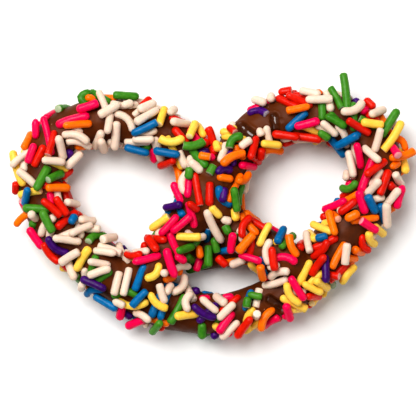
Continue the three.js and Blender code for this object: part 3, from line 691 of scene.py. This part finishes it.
def rodMeshes(chosen, endShares, rng):
    # Each rod is a bent tube: rings at its end profiles and at the body shares, whose radius tapers along
    # the rod, is a little oval, and is dented at random. Past its ends the axis runs straight on. The
    # streaks' places are the length along the rod, squeezed, and the two across it.
    count, sides = len(chosen), rodLooks["sides"]
    start, end, bowWay = (np.array([rod[key] for rod in chosen]) for key in ("start", "end", "bowWay"))
    radius = np.array([rod["radius"] for rod in chosen])
    kinds = list(endShares)
    profiles = np.array([rodLooks["ends"][kind] for kind in kinds])
    picked = rng.choice(len(kinds), (2, count), p=list(endShares.values()))
    length = np.linalg.norm(end - start, axis=1)
    ahead = unit(end - start)

    inBody = len(rodLooks["bodyShares"])
    rings = inBody + 2 * profiles.shape[1]
    body = np.broadcast_to(rodLooks["bodyShares"], (count, inBody))
    beyond = [profiles[kind] * radius[:, None, None] for kind in picked]
    share = np.concatenate([-beyond[0][:, :, 0] / length[:, None], body,
                            1 + beyond[1][:, ::-1, 0] / length[:, None]], 1)
    size = np.concatenate([beyond[0][:, :, 1], np.repeat(radius[:, None], inBody, 1),
                           beyond[1][:, ::-1, 1]], 1)
    held = np.clip(share, 0, 1)[:, :, None]
    slope = unit(ahead[:, None] * length[:, None, None] + bowWay[:, None] * 4 * (1 - 2 * held))
    axis = start[:, None] + (end - start)[:, None] * held + bowWay[:, None] * 4 * held * (1 - held)
    axis = axis + slope * (share[:, :, None] - held) * length[:, None, None]
    taper = 1 + rng.uniform(-1, 1, (count, 1)) * rodLooks["taper"] * (share - 0.5)
    side = unit(np.cross(slope, zUp + [0, rodLooks["nudge"], 0]))
    top = np.cross(side, slope)
    angle = np.arange(sides) * 2 * np.pi / sides + rng.uniform(0, 1, (count, 1))
    oval = 1 + rng.uniform(-1, 1, (count, 1)) * rodLooks["oval"]
    dents = 1 + rng.uniform(-1, 1, (count, rings, sides)) * rodLooks["dents"]
    wide = (size * taper)[:, :, None] * dents * rodLooks["fullness"]
    across = side[:, :, None] * (wide * (np.cos(angle) * oval)[:, None])[..., None]
    over = top[:, :, None] * (wide * (np.sin(angle) / oval)[:, None])[..., None]
    points, faces = closedTubes(axis[:, :, None] + across + over)

    along = share * length[:, None] * rodLooks["streakSqueeze"]
    along = (along + rodLooks["streakApart"] * np.arange(count)[:, None])[:, :, None]
    streaks = np.stack([np.broadcast_to(along, wide.shape), wide * np.cos(angle)[:, None],
                        wide * np.sin(angle)[:, None]], 3)

    corners = (rings - 2) * sides + 2
    tone = np.repeat(rng.uniform(0, 1, count), corners)
    cutFace = np.zeros((count, corners))
    isCut = picked == kinds.index("cut")
    cutFace[:, :sides] = isCut[0][:, None]
    cutFace[:, -2 - sides:-2] = isCut[1][:, None]
    cutFace[:, -2:] = isCut.T
    streakPlaces = tubeRows(streaks).reshape(-1, 3)
    return points, faces, {"tone": tone, "cutFace": cutFace.ravel(), "streaks": streakPlaces}


def rodPieces():
    # One piece for each colour, of all its rods.
    rng = np.random.default_rng(rodLooks["seed"] + 1)
    colourOf = pickColours()
    pieces = {}
    for colour in rodLooks["colours"]:
        chosen = [rod for rod, its in zip(allRods, colourOf) if its == colour]
        endShares = rodLooks["greenEndShares" if colour == "green" else "endShares"]
        points, faces, attributes = rodMeshes(chosen, endShares, rng)
        points[:, 2] = np.maximum(points[:, 2], rodLooks["floorSpace"])
        piece = newMesh(colour + "Rods", points, faces)
        for name, values in attributes.items():
            addAttribute(piece, name, values)
        pieces[colour] = piece
        print(colour, "rods:", len(chosen))
    return pieces


coloured = rodPieces()


def linear(hexColour):
    # sRGB hex to linear: c / 12.92 below 0.04045, else ((c + 0.055) / 1.055) to the power 2.4.
    values = [int(hexColour[k:k + 2], 16) / 255 for k in (1, 3, 5)]
    return [c / 12.92 if c < 0.04045 else ((c + 0.055) / 1.055) ** 2.4 for c in values] + [1.0]


def newMaterial(name):
    # An empty material, what adds a node to it, and the place on the object. The settings are a node's
    # properties or, by name or number, its inputs; the links go into its inputs.
    material = bpy.data.materials.new(name)
    material.use_nodes = True
    tree = material.node_tree
    tree.nodes.clear()

    def add(kind, settings=None, links=None):
        made = tree.nodes.new(kind)
        for key, value in (settings or {}).items():
            if isinstance(key, str) and hasattr(made, key):
                setattr(made, key, value)
            else:
                made.inputs[key].default_value = value
        for key, source in (links or {}).items():
            tree.links.new(source, made.inputs[key])
        return made

    return material, add, add("ShaderNodeTexCoord").outputs["Object"]


def noise(add, place, size, detail=2.0, roughness=0.5):
    # A noise whose pattern is about this size.
    settings = {"Scale": 1 / (size * metre), "Detail": detail, "Roughness": roughness}
    return add("ShaderNodeTexNoise", settings, {"Vector": place}).outputs["Fac"]


def attribute(add, name, output="Fac"):
    # What the mesh's points have under this name.
    return add("ShaderNodeAttribute", {"attribute_name": name}).outputs[output]


def times(add, value, factor):
    # The value times the factor.
    return add("ShaderNodeMath", {"operation": "MULTIPLY", 1: factor}, {0: value}).outputs[0]


def mixed(add, share, first, second):
    # The first colour times 1 - share, plus the second, a hex colour, times the share.
    return add("ShaderNodeMix", {"data_type": "RGBA", 7: linear(second)}, {0: share, 6: first}).outputs[2]


def ranged(add, value, toRange, fromRange=(0, 1)):
    # Goes in a straight line from one range to the other, and is held at its ends.
    settings = dict(zip(("To Min", "To Max", "From Min", "From Max"), (*toRange, *fromRange)))
    return add("ShaderNodeMapRange", settings, {"Value": value}).outputs["Result"]


def bumped(add, strengthAndDepth, links):
    # The normal, tilted by the height's slope times strength and depth.
    strength, depth = strengthAndDepth
    return add("ShaderNodeBump", {"Strength": strength, "Distance": depth * metre}, links).outputs["Normal"]


def surface(add, settings, links):
    # The shader and the material's output.
    shader = add("ShaderNodeBsdfPrincipled", settings, links)
    add("ShaderNodeOutputMaterial", links={"Surface": shader.outputs["BSDF"]})


chocolateLooks = {
    "dark": "#4A2006", "light": "#642F0B", "cloudSize": 5, "darkAt": 0.3, "lightAt": 0.72,
    "speck": "#C9A488", "speckApart": 1.5, "speckRange": [0.035, 0.06],
    "rippleSize": 1.4, "grainSize": 0.2, "roughness": [0.36, 0.56], "specular": 0.14,
    "rippleBump": [0.5, 0.16], "grainBump": [0.25, 0.02],  # strength and depth
    # and where a rod came away: a painted shade colour mixed into the hollow, and its roughness and gloss
    "hollow": "#30180A", "hollowShadeShare": 0.55, "hollowRoughness": 0.16, "hollowSpecular": 0.6,
}


def milkChocolate():
    # Tempered milk chocolate, dipped and set: a brown fat body with a soft satin gloss, ripples where it
    # ran, paler bloom here and there, grains of sugar, and glossier hollows where a smooth rod came away,
    # darkened with painted shade. The grains, about 0.05 mm, are drawn at 0.2 mm to show.
    looks = chocolateLooks
    material, add, place = newMaterial("milkChocolateTempered")
    shades = add("ShaderNodeValToRGB", links={"Fac": noise(add, place, looks["cloudSize"], 3.0)})
    for stop, shade in zip(shades.color_ramp.elements, ("dark", "light")):
        stop.position = looks[shade + "At"]
        stop.color = linear(looks[shade])
    grains = add("ShaderNodeTexVoronoi", {"Scale": 1 / (looks["speckApart"] * metre)}, {"Vector": place})
    speck = ranged(add, grains.outputs["Distance"], (1, 0), looks["speckRange"])
    speckled = mixed(add, speck, shades.outputs["Color"], looks["speck"])
    hollow = attribute(add, "hollow")
    # painted shade: the hollows' colour is mixed towards dark brown, standing in for the shade inside them
    colour = mixed(add, times(add, hollow, looks["hollowShadeShare"]), speckled, looks["hollow"])
    ripple = noise(add, place, looks["rippleSize"], 4.0, 0.55)
    grain = noise(add, place, looks["grainSize"])
    satin = ranged(add, ripple, looks["roughness"])
    sheen = add("ShaderNodeMix", {"data_type": "FLOAT", 3: looks["hollowRoughness"]}, {0: hollow, 2: satin})
    gloss = add("ShaderNodeMix", {
        "data_type": "FLOAT", 2: looks["specular"], 3: looks["hollowSpecular"]}, {0: hollow})
    broad = bumped(add, looks["rippleBump"], {"Height": ripple})
    fine = bumped(add, looks["grainBump"], {"Height": grain, "Normal": broad})
    surface(add, {"IOR": 1.46}, {"Base Color": colour, "Roughness": sheen.outputs[0],
                                 "Specular IOR Level": gloss.outputs[0], "Normal": fine})
    return material


# Body colour, another one for the mottling, how strong that is, and roughness, of each colour of rod.
rodFinishes = {
    "white": ["#EAD2BF", "#DCC2AA", 0.5, 0.36],
    "pink": ["#F8005A", "#DC003C", 0.5, 0.3],
    "red": ["#E42406", "#B80A00", 0.6, 0.3],
    "orange": ["#FA7E04", "#EC5C00", 0.5, 0.3],
    "yellow": ["#FCD25E", "#F0B824", 0.5, 0.34],
    "green": ["#2C740C", "#5E9A34", 0.5, 0.36],
    "blue": ["#0074AE", "#00527E", 0.6, 0.32],
    "purple": ["#500A7C", "#2C0348", 0.8, 0.36],
}
sugarLooks = {
    "cloudSize": 0.9, "streakSize": 0.42, "pitSize": 0.35, "mottleRange": [0.4, 0.62],
    "toneShare": 0.4,  # how much of the mottling's colour the rods differ by
    "chalk": "#EFE6D8", "chalkShare": 0.4, "bump": [0.6, 0.08],  # strength and depth
    "specular": 0.2, "translucence": 0.12, "lightDepth": 0.4,
}


def sugarRod(colour):
    # Extruded confectioner's sugar paste, dried and glazed: an even dyed body, faintly translucent, a satin
    # face with shallow pits and streaks drawn out by the die, and paler chalky paste where a rod is
    # snapped. The pits and streaks, about 0.1 mm, are drawn at 0.35 and 0.42 mm to show.
    looks = sugarLooks
    dye, mottle, strength, roughness = rodFinishes[colour]
    material, add, place = newMaterial(colour + "SugarPaste")
    cloud = noise(add, place, looks["cloudSize"], 3.0)
    streaks = add("ShaderNodeTexNoise", {"Scale": 1 / looks["streakSize"], "Detail": 2.0},
                  {"Vector": attribute(add, "streaks", "Vector")}).outputs["Fac"]
    blotches = add("ShaderNodeMix", {"data_type": "FLOAT", 0: 0.5}, {2: cloud, 3: streaks})
    amount = ranged(add, blotches.outputs[0], (0, strength), looks["mottleRange"])
    mottled = add("ShaderNodeMix", {"data_type": "RGBA", 6: linear(dye), 7: linear(mottle)}, {0: amount})
    toned = mixed(add, times(add, attribute(add, "tone"), looks["toneShare"]), mottled.outputs[2], mottle)
    body = mixed(add, times(add, attribute(add, "cutFace"), looks["chalkShare"]), toned, looks["chalk"])
    pits = noise(add, place, looks["pitSize"])
    rough = add("ShaderNodeMath", {"operation": "ADD"}, {0: pits, 1: streaks})
    bump = bumped(add, looks["bump"], {"Height": rough.outputs[0]})
    surface(add, {
        "Roughness": roughness, "IOR": 1.5, "Specular IOR Level": looks["specular"],
        "Subsurface Weight": looks["translucence"], "Subsurface Scale": looks["lightDepth"] * metre},
        {"Base Color": body, "Normal": bump})
    return material


chocolateCoat.data.materials.clear()
chocolateCoat.data.materials.append(milkChocolate())
for colour, piece in coloured.items():
    piece.data.materials.append(sugarRod(colour))
print("materials made")

for piece, slotName in [(chocolateCoat, "milk_chocolate"), *((p, "rod_" + c) for c, p in coloured.items())]:
    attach(piece, "root")
    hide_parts(solidNode)

# The pale floor, soft studio light and a camera straight above.
studio = {
    "floorSize": 3000, "floorColour": "#F4F3F1", "floorCloud": 60, "floorRoughness": [0.8, 0.9],
    "cameraHeight": 620, "frameWidth": 80.3, "frameMiddle": [-0.87, -0.58], "frameLevel": 6,
    "sensorWidth": 36,
    # softboxes: place, size, watts
    "softboxes": {"keyBox": [[-340, 420, 900], 700, 13.2], "fillBox": [[650, -250, 600], 700, 1.8]},
    "ambient": 0.18,
}


def makeStudio():
    # The focal length is the sensor's width times the distance to the frame's level, over its width.
    half = studio["floorSize"] / 2
    corners = np.array([[-half, -half, 0], [half, -half, 0], [half, half, 0], [-half, half, 0]])
    floor = newMesh("paleFloor", corners, [[0, 1, 2, 3]])
    material, add, place = newMaterial("mattPaintedBoard")
    mist = noise(add, place, studio["floorCloud"])
    rough = ranged(add, mist, studio["floorRoughness"])
    surface(add, {"Base Color": linear(studio["floorColour"])}, {"Roughness": rough})
    floor.data.materials.append(material)

    for name, (place, size, watts) in studio["softboxes"].items():
        lamp = bpy.data.lights.new(name, "AREA")
        lamp.size = size * metre
        lamp.energy = watts
        box = bpy.data.objects.new(name, lamp)
        box.location = np.array(place) * metre
        box.rotation_euler = (-box.location).to_track_quat("-Z", "Y").to_euler()
        bpy.context.scene.collection.objects.link(box)

    world = bpy.data.worlds.new("studioAir")
    world.use_nodes = True
    world.node_tree.nodes["Background"].inputs["Color"].default_value = linear("#FFFFFF")
    world.node_tree.nodes["Background"].inputs["Strength"].default_value = studio["ambient"]
    bpy.context.scene.world = world
    bpy.context.scene.view_settings.view_transform = "Standard"
    bpy.context.scene.view_settings.look = "Medium High Contrast"

    lens = bpy.data.cameras.new("overheadCamera")
    distance = studio["cameraHeight"] - studio["frameLevel"]
    lens.sensor_width = studio["sensorWidth"]
    lens.lens = lens.sensor_width * distance / studio["frameWidth"]
    camera = bpy.data.objects.new("overheadCamera", lens)
    camera.location = np.array([*studio["frameMiddle"], studio["cameraHeight"]]) * metre
    bpy.context.scene.collection.objects.link(camera)
    bpy.context.scene.camera = camera


makeStudio()
print("studio made")

bpy.context.view_layer.update()
